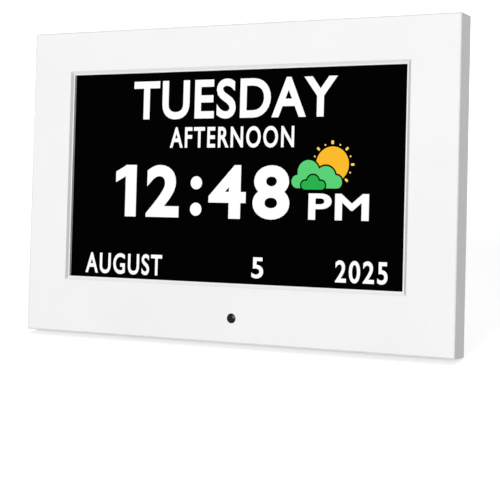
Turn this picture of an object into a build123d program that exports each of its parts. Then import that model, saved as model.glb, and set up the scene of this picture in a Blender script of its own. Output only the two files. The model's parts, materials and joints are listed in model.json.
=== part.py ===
"""Digital day clock with an 8 inch colour display, leaning back on a folding leg.

Millimetres. Every piece is drawn on the upright clock: X to the right as the viewer sees it, Y from the
face towards the back, Z up from the bottom edge. The finished pieces are then leaned back together, so that
the back bottom edge of the frame and the leg's rubber foot stand on the table, at Z = 0.
"""

from build123d import *
import math
import os

# Front frame, a white moulding
frame_width = 225.0
frame_height = 148.5
rim_depth = 12.0
frame_wall = 2.4
face_side = 24.5  # width of the face beside the window
face_top = 21.5  # and above it
face_fall = 0.6  # how far the face slopes back from the window to the outer edge
face_back = 2.2  # depth of the inner side of the face
edge_round = 0.4

# Window in the face, and the sloped lip around it with a flat bead at its inner edge
window_width = frame_width - 2 * face_side
window_bottom = 27.6
window_height = frame_height - window_bottom - face_top
lip_width = 1.9
lip_bead = 0.6
lip_depth = 0.7
lip_land = 0.4

# Lean of the clock and spread of the leg, in degrees
lean_angle = 12.0
leg_angle = 25.0

# Back cover: a flange inside the rim and a housing behind it
body_depth = 24.0
cover_wall = 2.2
cover_gap = 0.2
flange_thickness = 2.2
cover_rib = 1.2
cover_rib_height = 3.0
housing_side = 14.0  # from the sides of the frame
housing_end = 14.25  # from its top and bottom
housing_width = frame_width - 2 * housing_side
housing_height = frame_height - 2 * housing_end
housing_corner = 8.0
housing_round = 2.0
housing_draft = 2.0

# Case screws, three down each side
case_screw_inset = 8.5  # from the sides of the frame
case_screw_edge = 10.0  # from its top and bottom
case_boss_radius = 3.2
case_shank_radius = 1.15
case_head_radius = 2.4
case_head_height = 1.2
case_screw_length = 6.0
screw_gap = 0.05
head_gap = 0.3

# Display module
gasket_thickness = 0.3
gasket_margin = 0.8
panel_side = 4.4  # how far the glass reaches past the sides of the window
panel_end = 3.85  # and past its top and bottom
panel_width = window_width + 2 * panel_side
panel_height = window_height + 2 * panel_end
panel_thickness = 1.4
film_thickness = 0.4
guide_thickness = 2.0
reflector_thickness = 0.2
tray_side = 4.0  # how far the tray reaches past the sides of the glass
tray_end = 5.0  # and past its top and bottom
tray_width = panel_width + 2 * tray_side
tray_height = panel_height + 2 * tray_end
tray_sheet = 0.5
tray_gap = 0.3
rib_wall = 1.2
ear_width = 10.0
ear_reach = 7.0
ear_inset = 26.0  # from the sides of the tray
ear_screw_radius = 0.9
ear_head_radius = 1.9
ear_head_height = 1.3
ear_screw_length = 4.0
ear_post_radius = 3.0
led_count = 24
led_width = 3.5
led_height = 1.6
led_board_thickness = 0.6
led_board_end = 2.0  # from the sides of the glass
led_end = 7.0
ribbon_width = 32.0
ribbon_thickness = 0.3
ribbon_slot_gap = 1.5
ribbon_side_gap = 1.0  # to the wire plugs beside it
ribbon_leaves_up = 12.0  # on the main board, from its bottom edge
ribbon_socket_up = 42.0
ribbon_lead = 3.0  # straight run into the socket
ribbon_plug_width = 36.0
ribbon_plug_height = 5.0
ribbon_plug_depth = 2.0

# Sensor behind the dark dot below the window
dot_out = 4.0
dot_drop = 5.7  # from the ribs around the display tray
dot_radius = 2.3
dot_sink = 0.1  # of the lens's rim below the face beside it
lens_gap = 0.05
lens_rise = 0.4  # height of the lens's dome
lens_flange = 1.0
lens_flange_thickness = 0.8
sensor_board_width = 16.0
sensor_board_height = 9.0
sensor_board_thickness = 1.0
pad_width = 3.0
pad_setback = 1.0  # from the ends of the sensor board
receiver_size = 5.0
receiver_thickness = 3.0

# Folding leg and its hinge
hinge_rise = 7.75  # above the middle of the frame
hinge_inset = 3.4  # from the back of the housing to the hinge line
leg_thickness = 5.0
leg_skin = 1.8
leg_rim = 2.2
leg_top_width = 34.0
leg_foot_width = 46.0
leg_straight = 4.0  # the leg and its channel widen from this far below the hinge line
leg_round = 0.6
leg_rib = 1.4
leg_rib_count = 4
leg_rib_sink = 0.4
barrel_radius = 3.1
pin_radius = 1.5
pin_fit = 0.02
pin_turn = 0.1
pin_seat = 4.0
hinge_boss_radius = 3.3
channel_gap = 0.8
channel_wall = 2.0
channel_depth = 7.0
channel_above = 4.8
channel_block_sink = 1.0  # below the outer face, so that the block joins the wall
stop_gap = 0.05
washer_thickness = 0.6
washer_radius = 2.8
foot_thickness = 2.0
foot_inset = 3.0
foot_sink = 0.4  # below the front and back of the leg

# Keyholes for hanging the clock on two wall screws
keyhole_inset = 38.5  # from the sides of the housing
keyhole_drop = 24.25  # from its top
keyhole_entry_radius = 4.0
keyhole_slot_radius = 2.1
keyhole_rise = 7.0
keyhole_pocket_depth = 3.4
keyhole_pocket_width = 11.0
keyhole_room = 1.0  # above and below the screw head
keyhole_wall = 1.2

# Push buttons down one side of the back
button_count = 7
button_pitch = 12.0
button_drop = 2.25  # middle of the row, below the middle of the frame
button_inset = 14.5  # from the side of the housing
button_radius = 3.4
button_gap = 0.2
button_proud = 1.2
button_flange = 0.9
button_flange_thickness = 1.4
button_edge = 0.4
button_travel = 0.5
dish_radius = 4.6
dish_depth = 0.5
plunger_radius = 1.7
plunger_height = 0.8
plunger_hidden = 0.7
plunger_gap = 0.15
plunger_rest_gap = 0.2  # below the plunger when it is pressed home
switch_side = 6.0
switch_height = 3.5
key_board_width = 15.0
key_board_margin = 10.0

# Circuit boards
board_thickness = 1.6
board_corner = 1.0
main_board_gap = 1.4  # to the leg's channel behind it
main_board_inset = 4.5  # from the side of the housing
main_board_inner = 24.0  # from the middle line
main_board_drop = 46.25  # its bottom edge, below the middle of the frame
standoff_radius = 2.6
standoff_inset = 4.0
board_screw_radius = 0.85
board_head_radius = 1.8
board_head_height = 1.2
board_screw_length = 5.0

# Sockets in the side of the housing, stacked from the bottom up between two posts
socket_gap = 4.4
socket_low_gap = 1.6
socket_high_gap = 1.1
usb_width = 13.1
usb_height = 5.8
usb_length = 13.0
usb_shell = 0.4
usb_back_wall = 1.6
usb_tongue = 1.8
usb_tongue_gap = 0.5  # to the shell behind it
usb_tongue_side = 1.1  # to the sides of the socket
usb_tongue_sink = 1.0  # behind the mouth
usb_hole_gap = 0.4
card_width = 24.6
card_height = 2.8
card_length = 24.0
card_shell = 0.3
card_back_wall = 2.0
card_hole_gap = 0.3
jack_width = 7.6
jack_height = 6.4
jack_length = 10.5
jack_setback = 1.5  # from the edge of the main board
jack_nose_radius = 3.1
jack_nose_gap = 0.3
jack_bore_radius = 1.8
jack_bore_length = 8.0
jack_pin_radius = 0.65
jack_pin_length = 6.5
mouth_sink = 0.7  # how far the socket mouths lie inside the outer face

# Parts on the main board
chip_side = 14.0
chip_height = 1.4
chip_bevel = 0.2
memory_width = 8.0
memory_height = 5.0
cell_radius = 10.0
cell_height = 3.2
cell_bevel = 0.3
holder_floor = 0.6
holder_wall = 1.5
holder_gap = 0.1
capacitor_radius = 3.15
capacitor_height = 5.8
capacitor_bevel = 0.4
coil_side = 7.0
coil_height = 3.6
coil_corner = 1.5
crystal_length = 11.0
crystal_width = 4.4
crystal_height = 3.4
crystal_corner = 2.0

# Their places, as shares of the board's width and height from its outer bottom corner
chip_share = (0.61, 0.74)
memory_shares = [(0.61, 0.53), (0.83, 0.53)]
crystal_share = (0.83, 0.61)
cell_share = (0.74, 0.26)
capacitor_shares = [(0.31, 0.17), (0.43, 0.17), (0.31, 0.37)]
coil_share = (0.45, 0.36)

# Speaker, midway between the leg's channel and the button board
speaker_drop = 14.25  # below the middle of the frame
speaker_radius = 18.0
speaker_depth = 8.4
speaker_flange_thickness = 1.2
speaker_gasket = 0.8
speaker_ring = 1.2
speaker_fit = 0.1
basket_radius = 13.0
basket_wall = 1.0
basket_floor = 0.8
magnet_radius = 9.0
magnet_thickness = 3.4
magnet_bevel = 0.4
cone_radius = 15.5
cone_thickness = 0.5
cone_lift = 0.4  # above the floor of the basket
cone_gap = 0.6  # from its rim to the basket
cone_rim = 1.4
cone_cap_radius = 4.0
cone_cap_rise = 0.6
seal_gap = 0.5
grille_radius = 14.0
grille_slot = 2.0
grille_pitch = 3.6
clamp_turns = (45.0, 225.0)  # places of its screws around it, in degrees
clamp_head_radius = 3.8
clamp_screw_length = 3.0

# Ventilation slots above the leg
vent_count = 13
vent_pitch = 6.0
vent_width = 2.0
vent_length = 12.0
vent_drop = 17.25  # from the top of the housing

# Bare recess where a rating label would sit
label_inset = 40.5  # from the side of the housing
label_drop = 12.25  # below the middle of the frame
label_width = 52.0
label_height = 24.0
label_depth = 0.3
label_corner = 2.0

# Wires inside the case
wire_radius = 0.5
wire_apart = 1.6
wire_plug_width = 6.0
wire_plug_height = 5.0
wire_plug_depth = 2.4
wire_plug_gap = 5.0  # between the ribbon's socket and the speaker's plug
wire_plug_wall = 0.1  # in front of the wires
wire_bend = 12.0
wire_low_bend = 8.0
wire_dip = 10.0  # over which the sensor's wires come forward
wire_end_bend = 1.5
wire_turn_out = 20.0  # where the speaker's wires run level again, before the speaker
wire_turn_run = 10.0
wire_turn_rise = 5.0
sensor_wire_out = 3.0

# How far cuts run past the faces that they open
past = 1.0
past_housing = 5.0
match = 0.01  # tolerance for finding an edge by its depth

# Places worked out from the sizes above
middle = frame_height / 2
window_middle = window_bottom + window_height / 2
rib_width = tray_width + 2 * (tray_gap + rib_wall)
rib_height = tray_height + 2 * (tray_gap + rib_wall)
dot_up = window_middle - rib_height / 2 - dot_drop
crest_width = window_width + 2 * (lip_width + lip_land)
crest_height = window_height + 2 * (lip_width + lip_land)
dot_face = face_fall * (1 - dot_up / (window_bottom - lip_width - lip_land))
lens_apex = dot_face + dot_sink - lens_rise
cover_front = rim_depth - flange_thickness
cover_inner = body_depth - cover_wall
housing_low = middle - housing_height / 2
housing_top = middle + housing_height / 2
panel_front = face_back + gasket_thickness
film_front = panel_front + panel_thickness
guide_front = film_front + film_thickness
reflector_front = guide_front + guide_thickness
tray_floor = reflector_front + reflector_thickness
tray_back = tray_floor + tray_sheet
tray_front = panel_front + tray_sheet
case_screw_places = [
    (side * (frame_width / 2 - case_screw_inset), height)
    for side in (-1, 1)
    for height in (case_screw_edge, middle, frame_height - case_screw_edge)
]
ear_out = tray_width / 2 - ear_inset
ear_places = [
    (side * ear_out, window_middle + end * (tray_height + ear_reach) / 2)
    for side in (-1, 1)
    for end in (-1, 1)
]
hinge_height = middle + hinge_rise
hinge_depth = body_depth - hinge_inset
channel_floor = body_depth - channel_depth
channel_back = channel_floor - channel_wall
half_leg = leg_thickness / 2
spread = math.radians(leg_angle)
heel = (hinge_depth - channel_floor - stop_gap - half_leg * math.cos(spread)) / math.sin(spread)
keyhole_out = housing_width / 2 - keyhole_inset
keyhole_up = housing_top - keyhole_drop
keyhole_places = [(side * keyhole_out, keyhole_up) for side in (-1, 1)]
button_out = housing_width / 2 - button_inset
button_low = middle - button_drop - button_pitch * (button_count - 1) / 2
button_heights = [button_low + step * button_pitch for step in range(button_count)]
button_places = [(button_out, height) for height in button_heights]
flange_front = cover_inner - button_flange_thickness
switch_top = flange_front - plunger_height
key_board_back = switch_top - switch_height
key_board_front = key_board_back - board_thickness
key_board_height = button_heights[-1] - button_heights[0] + 2 * key_board_margin
key_board_middle = (button_heights[0] + button_heights[-1]) / 2
key_post_places = [
    (button_out, key_board_middle + end * (key_board_height / 2 - standoff_radius)) for end in (-1, 1)
]
main_board_back = channel_back - main_board_gap
main_board_front = main_board_back - board_thickness
main_board_edge = main_board_inset - housing_width / 2
main_board_width = -main_board_inner - main_board_edge
main_board_low = middle - main_board_drop
post_reach = standoff_inset + standoff_radius
jack_up = main_board_low + post_reach + socket_low_gap + jack_width / 2
usb_up = jack_up + jack_width / 2 + socket_gap + usb_width / 2
card_up = usb_up + usb_width / 2 + socket_gap + card_width / 2
main_board_height = card_up + card_width / 2 + socket_high_gap + post_reach - main_board_low
main_board_middle = (main_board_edge + main_board_width / 2, main_board_low + main_board_height / 2)
main_post_places = [
    (
        main_board_middle[0] + side * (main_board_width / 2 - standoff_inset),
        main_board_middle[1] + end * (main_board_height / 2 - standoff_inset),
    )
    for side in (-1, 1)
    for end in (-1, 1)
]
plug_out = -main_board_inner - wire_plug_width
ribbon_out = plug_out - wire_plug_width / 2 - ribbon_side_gap - ribbon_width / 2
ribbon_leaves_at = main_board_low + ribbon_leaves_up
ribbon_plug_at = main_board_low + ribbon_socket_up
ribbon_plug_low = ribbon_plug_at - ribbon_plug_height / 2
mouth = mouth_sink - housing_width / 2
channel_side = leg_foot_width / 2 + channel_gap + channel_wall
speaker_out = (channel_side + button_out - key_board_width / 2) / 2
speaker_up = middle - speaker_drop
speaker_front = cover_inner - speaker_gasket
speaker_rear = speaker_front - speaker_flange_thickness
speaker_place = (speaker_out, speaker_up)
clamp_out = speaker_radius + standoff_radius
clamp_places = [
    (speaker_out + clamp_out * math.cos(turn), speaker_up + clamp_out * math.sin(turn))
    for turn in map(math.radians, clamp_turns)
]

pieces = []


def finish(builder, label):
    """Names a finished piece and puts it with the others."""
    builder.part.label = label
    pieces.append(builder.part)


def at_depth(depth):
    """Drawing plane seen from the front, that far behind the lip of the window."""
    return Plane.XZ.offset(-depth)


def across(out):
    """Drawing plane seen from the right, that far from the middle line: its X is Y and its Y is Z."""
    return Plane.YZ.offset(out)


def slab(width, height, front, back, places, corner=0.0, mode=Mode.ADD):
    """Adds or cuts a flat plate between two depths at each place."""
    with BuildSketch(at_depth(back)) as outline:
        with Locations(*places):
            if corner > 0:
                RectangleRounded(width, height, corner)
            else:
                Rectangle(width, height)
    extrude(outline.sketch, amount=back - front, mode=mode)


def rod(radius, front, back, places, mode=Mode.ADD):
    """Adds or cuts a round bar between two depths at each place."""
    with BuildSketch(at_depth(back)) as outline:
        with Locations(*places):
            Circle(radius)
    extrude(outline.sketch, amount=back - front, mode=mode)


def cross_bar(radius, start, end, depth, height, mode=Mode.ADD):
    """Adds or cuts a round bar that runs from left to right."""
    with BuildSketch(across(start)) as outline:
        with Locations((depth, height)):
            Circle(radius)
    extrude(outline.sketch, amount=end - start, mode=mode)


def cross_drive(size, top, depth, places):
    """Cuts the cross recess of a screw head, from its top towards its point."""
    for width, height in ((size, size / 4), (size / 4, size)):
        slab(width, height, min(top, top + depth), max(top, top + depth), places, mode=Mode.SUBTRACT)


def frame_screws(places, shank, head, head_height, length, seat, way):
    """Adds screws whose heads rest at the seat depth; way is 1 if they point forwards, else -1."""
    tip = seat - way * length
    top = seat + way * head_height
    rod(shank, min(tip, seat), max(tip, seat), places)
    rod(head, min(seat, top), max(seat, top), places)
    cross_drive(head, top, -way * head_height / 2, places)


# Front frame
with BuildPart() as front_frame:
    with BuildSketch(at_depth(rim_depth)):
        with Locations((0, middle)):
            Rectangle(frame_width, frame_height)
    extrude(amount=rim_depth - face_fall)
    with BuildSketch(at_depth(face_fall)):
        with Locations((0, middle)):
            Rectangle(frame_width, frame_height)
    with BuildSketch(at_depth(0)):
        with Locations((0, window_middle)):
            Rectangle(crest_width, crest_height)
    loft(ruled=True)
    corner_edges = front_frame.edges().filter_by(Axis.Y)
    brow_edges = front_frame.edges().filter_by_position(Axis.Y, face_fall - match, face_fall + match)
    fillet(corner_edges + brow_edges, edge_round)
    slab(
        frame_width - 2 * frame_wall,
        frame_height - 2 * frame_wall,
        face_back,
        rim_depth,
        [(0, middle)],
        mode=Mode.SUBTRACT,
    )
    # Ribs that locate the display tray, screw bosses, and room for the tray between them
    slab(rib_width, rib_height, face_back, reflector_front - tray_sheet, [(0, window_middle)])
    rod(case_boss_radius, face_back, cover_front, case_screw_places)
    rod(ear_post_radius, face_back, tray_floor, ear_places)
    slab(
        tray_width + 2 * tray_gap,
        tray_height + 2 * tray_gap,
        face_back,
        rim_depth,
        [(0, window_middle)],
        mode=Mode.SUBTRACT,
    )
    # Pads that carry the sensor board on either side of the lens
    sensor_back = face_back + lens_flange_thickness + receiver_thickness
    pad_out = (sensor_board_width - pad_width) / 2
    pad_places = [(dot_out + side * pad_out, dot_up) for side in (-1, 1)]
    slab(pad_width, sensor_board_height - 2 * pad_setback, face_back, sensor_back, pad_places)
    # Window, sloped lip and lens hole; the lip stops short of the window and leaves its bead
    with BuildSketch(at_depth(0)):
        with Locations((0, window_middle)):
            Rectangle(window_width + 2 * lip_width, window_height + 2 * lip_width)
    with BuildSketch(at_depth(lip_depth)):
        with Locations((0, window_middle)):
            Rectangle(window_width + 2 * lip_bead, window_height + 2 * lip_bead)
    loft(ruled=True, mode=Mode.SUBTRACT)
    slab(window_width, window_height, 0, face_back, [(0, window_middle)], mode=Mode.SUBTRACT)
    rod(dot_radius, 0, face_back, [(dot_out, dot_up)], mode=Mode.SUBTRACT)
    case_pilot = case_shank_radius + screw_gap
    rod(case_pilot, cover_front - case_screw_length, cover_front, case_screw_places, mode=Mode.SUBTRACT)
    rod(ear_screw_radius + screw_gap, face_back, tray_floor, ear_places, mode=Mode.SUBTRACT)
finish(front_frame, "front_frame")

# Foam gasket between the face and the display
with BuildPart() as display_gasket:
    slab(panel_width, panel_height, face_back, panel_front, [(0, window_middle)])
    slab(
        window_width + 2 * gasket_margin,
        window_height + 2 * gasket_margin,
        face_back,
        panel_front,
        [(0, window_middle)],
        mode=Mode.SUBTRACT,
    )
finish(display_gasket, "display_gasket")

# Display module, from the glass back to its steel tray
with BuildPart() as display_panel:
    slab(panel_width, panel_height, panel_front, film_front, [(0, window_middle)])
finish(display_panel, "display_panel")

with BuildPart() as diffuser_films:
    slab(panel_width, panel_height, film_front, guide_front, [(0, window_middle)])
finish(diffuser_films, "diffuser_films")

strip_height = led_board_thickness + led_height
guide_low = window_middle - panel_height / 2 + strip_height
with BuildPart() as light_guide:
    slab(
        panel_width,
        panel_height - strip_height,
        guide_front,
        reflector_front,
        [(0, guide_low + (panel_height - strip_height) / 2)],
    )
finish(light_guide, "light_guide")

led_board_middle = guide_low - led_height - led_board_thickness / 2
with BuildPart() as backlight_board:
    led_board_width = panel_width - 2 * led_board_end
    slab(led_board_width, led_board_thickness, guide_front, reflector_front, [(0, led_board_middle)])
finish(backlight_board, "backlight_board")

with BuildPart() as backlight_leds:
    led_pitch = (panel_width - 2 * led_end) / (led_count - 1)
    led_places = [
        ((step - (led_count - 1) / 2) * led_pitch, guide_low - led_height / 2) for step in range(led_count)
    ]
    slab(led_width, led_height, guide_front, reflector_front, led_places)
finish(backlight_leds, "backlight_leds")

with BuildPart() as reflector_sheet:
    slab(panel_width, panel_height, reflector_front, tray_floor, [(0, window_middle)])
finish(reflector_sheet, "reflector_sheet")

with BuildPart() as display_middle_frame:
    slab(
        tray_width - 2 * tray_sheet,
        tray_height - 2 * tray_sheet,
        tray_front,
        tray_floor,
        [(0, window_middle)],
    )
    slab(panel_width, panel_height, tray_front, tray_floor, [(0, window_middle)], mode=Mode.SUBTRACT)
finish(display_middle_frame, "display_middle_frame")

with BuildPart() as display_tray:
    slab(tray_width, tray_height, tray_front, tray_back, [(0, window_middle)])
    slab(
        tray_width - 2 * tray_sheet,
        tray_height - 2 * tray_sheet,
        tray_front,
        tray_floor,
        [(0, window_middle)],
        mode=Mode.SUBTRACT,
    )
    ears_apart = tray_height + 2 * ear_reach
    for side in (-1, 1):
        slab(ear_width, ears_apart, tray_floor, tray_back, [(side * ear_out, window_middle)])
    rod(ear_screw_radius + head_gap, tray_floor, tray_back, ear_places, mode=Mode.SUBTRACT)
    # Slot that the ribbon leaves by
    slab(
        ribbon_width + 2 * ribbon_slot_gap,
        2 * ribbon_slot_gap,
        tray_floor,
        tray_back,
        [(ribbon_out, ribbon_leaves_at)],
        mode=Mode.SUBTRACT,
    )
finish(display_tray, "display_tray")

with BuildPart() as display_screws:
    frame_screws(
        ear_places,
        ear_screw_radius,
        ear_head_radius,
        ear_head_height,
        ear_screw_length,
        tray_back,
        1,
    )
finish(display_screws, "display_screws")

# Ribbon cable from the display to the main board, folded as tightly as the room behind the tray asks
ribbon_end = main_board_front - ribbon_plug_depth / 2
ribbon_run_depth = (tray_back + ribbon_end) / 2
ribbon_bend = (ribbon_end - ribbon_run_depth) / 2.5
with BuildPart() as display_ribbon:
    with BuildSketch(across(ribbon_out - ribbon_width / 2)):
        with BuildLine():
            FilletPolyline(
                (tray_floor, ribbon_leaves_at),
                (ribbon_run_depth, ribbon_leaves_at),
                (ribbon_run_depth, ribbon_plug_low - ribbon_lead),
                (ribbon_end, ribbon_plug_low - ribbon_lead),
                (ribbon_end, ribbon_plug_low),
                radius=ribbon_bend,
            )
        trace(line_width=ribbon_thickness)
    extrude(amount=ribbon_width)
finish(display_ribbon, "display_ribbon")

with BuildPart() as ribbon_socket:
    slab(
        ribbon_plug_width,
        ribbon_plug_height,
        main_board_front - ribbon_plug_depth,
        main_board_front,
        [(ribbon_out, ribbon_plug_at)],
    )
finish(ribbon_socket, "ribbon_socket")

# Domed sensor lens, receiver and board behind the dark dot
with BuildPart() as sensor_lens:
    lens_radius = dot_radius - lens_gap
    dome_radius = (lens_radius**2 + lens_rise**2) / (2 * lens_rise)
    rod(lens_radius, lens_apex, face_back, [(dot_out, dot_up)])
    with Locations((dot_out, lens_apex + dome_radius, dot_up)):
        Sphere(dome_radius, mode=Mode.INTERSECT)
    rod(dot_radius + lens_flange, face_back, face_back + lens_flange_thickness, [(dot_out, dot_up)])
finish(sensor_lens, "sensor_lens")

with BuildPart() as infrared_receiver:
    receiver_front = face_back + lens_flange_thickness
    slab(receiver_size, receiver_size, receiver_front, sensor_back, [(dot_out, dot_up)])
finish(infrared_receiver, "infrared_receiver")

with BuildPart() as sensor_board:
    slab(
        sensor_board_width,
        sensor_board_height,
        sensor_back,
        sensor_back + sensor_board_thickness,
        [(dot_out, dot_up)],
    )
finish(sensor_board, "sensor_board")


def half_leg_width(height):
    """Half the leg's width at a height above the hinge line; it is widest at the foot."""
    slope = (leg_foot_width - leg_top_width) / 2 / (hinge_height - leg_straight)
    return leg_top_width / 2 - slope * (height + leg_straight)


def leg_taper(top, bottom, grow):
    """Outline of the leg between two heights above the hinge line, made wider by grow on each side."""
    upper = half_leg_width(top) + grow
    lower = half_leg_width(bottom) + grow
    return [(-upper, top), (upper, top), (lower, bottom), (-lower, bottom)]


def channel_outline(grow, bottom):
    """Outline of the leg's channel in the back cover, seen from the front."""
    upper = leg_top_width / 2 + channel_gap + grow
    lower = half_leg_width(bottom - hinge_height) + channel_gap + grow
    top = hinge_height + channel_above + grow
    bend = hinge_height - leg_straight
    return [(-upper, top), (upper, top), (upper, bend), (lower, bottom), (-lower, bottom), (-upper, bend)]


# Back cover
with BuildPart() as back_cover:
    cover_width = frame_width - 2 * (frame_wall + cover_gap)
    cover_height = frame_height - 2 * (frame_wall + cover_gap)
    slab(cover_width, cover_height, cover_front - cover_rib_height, rim_depth, [(0, middle)])
    slab(
        cover_width - 2 * cover_rib,
        cover_height - 2 * cover_rib,
        cover_front - cover_rib_height,
        cover_front,
        [(0, middle)],
        mode=Mode.SUBTRACT,
    )
    with BuildSketch(at_depth(rim_depth)) as housing_foot:
        with Locations((0, middle)):
            RectangleRounded(housing_width, housing_height, housing_corner)
    extrude(housing_foot.sketch, amount=rim_depth - body_depth, taper=housing_draft)
    fillet(back_cover.faces().sort_by(Axis.Y)[-1].edges(), housing_round)
    inner_corner = housing_corner - cover_wall
    inner_width = housing_width - 2 * cover_wall
    inner_height = housing_height - 2 * cover_wall
    slab(
        inner_width,
        inner_height,
        cover_front,
        rim_depth,
        [(0, middle)],
        corner=inner_corner,
        mode=Mode.SUBTRACT,
    )
    with BuildSketch(at_depth(rim_depth)) as housing_hollow:
        with Locations((0, middle)):
            RectangleRounded(inner_width, inner_height, inner_corner)
    extrude(
        housing_hollow.sketch,
        amount=rim_depth - cover_inner,
        taper=housing_draft,
        mode=Mode.SUBTRACT,
    )
    # Channel that the leg folds into, open at the bottom of the housing
    block_back = body_depth - channel_block_sink
    with BuildSketch(at_depth(block_back)) as channel_block:
        Polygon(*channel_outline(channel_wall, housing_low + cover_wall / 2), align=None)
    extrude(channel_block.sketch, amount=block_back - channel_back)
    pin_reach = leg_top_width / 2 + channel_gap + channel_wall + pin_seat
    cross_bar(hinge_boss_radius, -pin_reach, pin_reach, hinge_depth, hinge_height)
    with BuildSketch(at_depth(body_depth + past)) as channel_cut:
        Polygon(*channel_outline(0, housing_low - past_housing), align=None)
    extrude(channel_cut.sketch, amount=body_depth + past - channel_floor, mode=Mode.SUBTRACT)
    pin_end = leg_top_width / 2 + channel_gap + pin_seat
    cross_bar(pin_radius + pin_fit, -pin_end, pin_end, hinge_depth, hinge_height, mode=Mode.SUBTRACT)
    # Case screw holes with sunk seats
    seat = rim_depth - case_head_height
    rod(case_head_radius + head_gap, seat, rim_depth, case_screw_places, mode=Mode.SUBTRACT)
    rod(case_shank_radius + head_gap, cover_front, rim_depth, case_screw_places, mode=Mode.SUBTRACT)
    # Keyholes, each with a closed pocket behind the wall
    pocket_middle = keyhole_up + keyhole_rise / 2
    pocket_height = keyhole_rise + 2 * (keyhole_entry_radius + keyhole_room)
    pocket_places = [(out, pocket_middle) for out, _ in keyhole_places]
    slab(
        keyhole_pocket_width + 2 * keyhole_wall,
        pocket_height + 2 * keyhole_wall,
        cover_inner - keyhole_pocket_depth - keyhole_wall,
        cover_inner,
        pocket_places,
    )
    slab(
        keyhole_pocket_width,
        pocket_height,
        cover_inner - keyhole_pocket_depth,
        cover_inner,
        pocket_places,
        mode=Mode.SUBTRACT,
    )
    rod(keyhole_entry_radius, cover_inner, body_depth, keyhole_places, mode=Mode.SUBTRACT)
    slot_places = [(out, keyhole_up + keyhole_rise / 2) for out, _ in keyhole_places]
    slab(
        2 * keyhole_slot_radius,
        keyhole_rise,
        cover_inner,
        body_depth,
        slot_places,
        mode=Mode.SUBTRACT,
    )
    slot_ends = [(out, keyhole_up + keyhole_rise) for out, _ in keyhole_places]
    rod(keyhole_slot_radius, cover_inner, body_depth, slot_ends, mode=Mode.SUBTRACT)
    # Buttons: shallow dishes around the holes
    rod(dish_radius, body_depth - dish_depth, body_depth, button_places, mode=Mode.SUBTRACT)
    rod(button_radius + button_gap, cover_inner, body_depth, button_places, mode=Mode.SUBTRACT)
    # Posts for the boards, and the ring that holds the speaker
    rod(standoff_radius, main_board_back, cover_inner, main_post_places)
    rod(standoff_radius, key_board_back, cover_inner, key_post_places)
    rod(speaker_radius + speaker_fit + speaker_ring, speaker_rear, cover_inner, [speaker_place])
    rod(standoff_radius, speaker_rear, cover_inner, clamp_places)
    rod(speaker_radius + speaker_fit, speaker_rear, cover_inner, [speaker_place], mode=Mode.SUBTRACT)
    board_pilot = board_screw_radius + screw_gap
    rod(
        board_pilot,
        main_board_back,
        main_board_back + board_screw_length,
        main_post_places,
        mode=Mode.SUBTRACT,
    )
    rod(
        board_pilot,
        key_board_back,
        key_board_back + board_screw_length,
        key_post_places,
        mode=Mode.SUBTRACT,
    )
    clamp_end = speaker_rear + clamp_screw_length
    rod(board_pilot, speaker_rear, clamp_end, clamp_places, mode=Mode.SUBTRACT)
    # Speaker grille, cut as slots that fill a circle
    grille_rows = math.floor((grille_radius - grille_slot) / grille_pitch)
    for row in range(-grille_rows, grille_rows + 1):
        rise = row * grille_pitch
        length = 2 * math.sqrt(grille_radius**2 - rise**2)
        with BuildSketch(at_depth(body_depth)) as grille_row:
            with Locations((speaker_out, speaker_up + rise)):
                SlotOverall(length, grille_slot)
        extrude(grille_row.sketch, amount=cover_wall, mode=Mode.SUBTRACT)
    # Ventilation slots
    with BuildSketch(at_depth(body_depth)) as vents:
        with Locations((0, housing_top - vent_drop)):
            with GridLocations(vent_pitch, 1, vent_count, 1):
                SlotOverall(vent_length, vent_width, rotation=90)
    extrude(vents.sketch, amount=cover_wall, mode=Mode.SUBTRACT)
    # Socket holes in the side of the housing
    usb_depth = main_board_back + usb_height / 2
    card_depth = main_board_back + card_height / 2
    jack_depth = main_board_back + jack_height / 2
    with BuildSketch(across(mouth - cover_wall)) as socket_holes:
        with Locations((usb_depth, usb_up)):
            Rectangle(usb_height + 2 * usb_hole_gap, usb_width + 2 * usb_hole_gap)
        with Locations((card_depth, card_up)):
            Rectangle(card_height + 2 * card_hole_gap, card_width + 2 * card_hole_gap)
        with Locations((jack_depth, jack_up)):
            Circle(jack_nose_radius + jack_nose_gap)
    extrude(socket_holes.sketch, amount=2 * cover_wall, mode=Mode.SUBTRACT)
    # Bare recess for a rating label
    slab(
        label_width,
        label_height,
        body_depth - label_depth,
        body_depth,
        [(label_inset - housing_width / 2, middle - label_drop)],
        corner=label_corner,
        mode=Mode.SUBTRACT,
    )
finish(back_cover, "back_cover")

with BuildPart() as case_screws:
    frame_screws(
        case_screw_places,
        case_shank_radius,
        case_head_radius,
        case_head_height,
        case_screw_length,
        seat,
        1,
    )
finish(case_screws, "case_screws")

# Main board and what is soldered to it
with BuildPart() as main_board:
    slab(
        main_board_width,
        main_board_height,
        main_board_front,
        main_board_back,
        [main_board_middle],
        corner=board_corner,
    )
    rod(
        board_screw_radius + head_gap,
        main_board_front,
        main_board_back,
        main_post_places,
        mode=Mode.SUBTRACT,
    )
finish(main_board, "main_board")

with BuildPart() as main_board_screws:
    frame_screws(
        main_post_places,
        board_screw_radius,
        board_head_radius,
        board_head_height,
        board_screw_length,
        main_board_front,
        -1,
    )
finish(main_board_screws, "main_board_screws")


def on_board(share):
    """Place on the main board from its shares of the board's width and height."""
    return (main_board_edge + share[0] * main_board_width, main_board_low + share[1] * main_board_height)


with BuildPart() as processor_chip:
    slab(
        chip_side,
        chip_side,
        main_board_back,
        main_board_back + chip_height,
        [on_board(chip_share)],
    )
    chamfer(processor_chip.faces().sort_by(Axis.Y)[-1].edges(), chip_bevel)
finish(processor_chip, "processor_chip")

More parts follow.
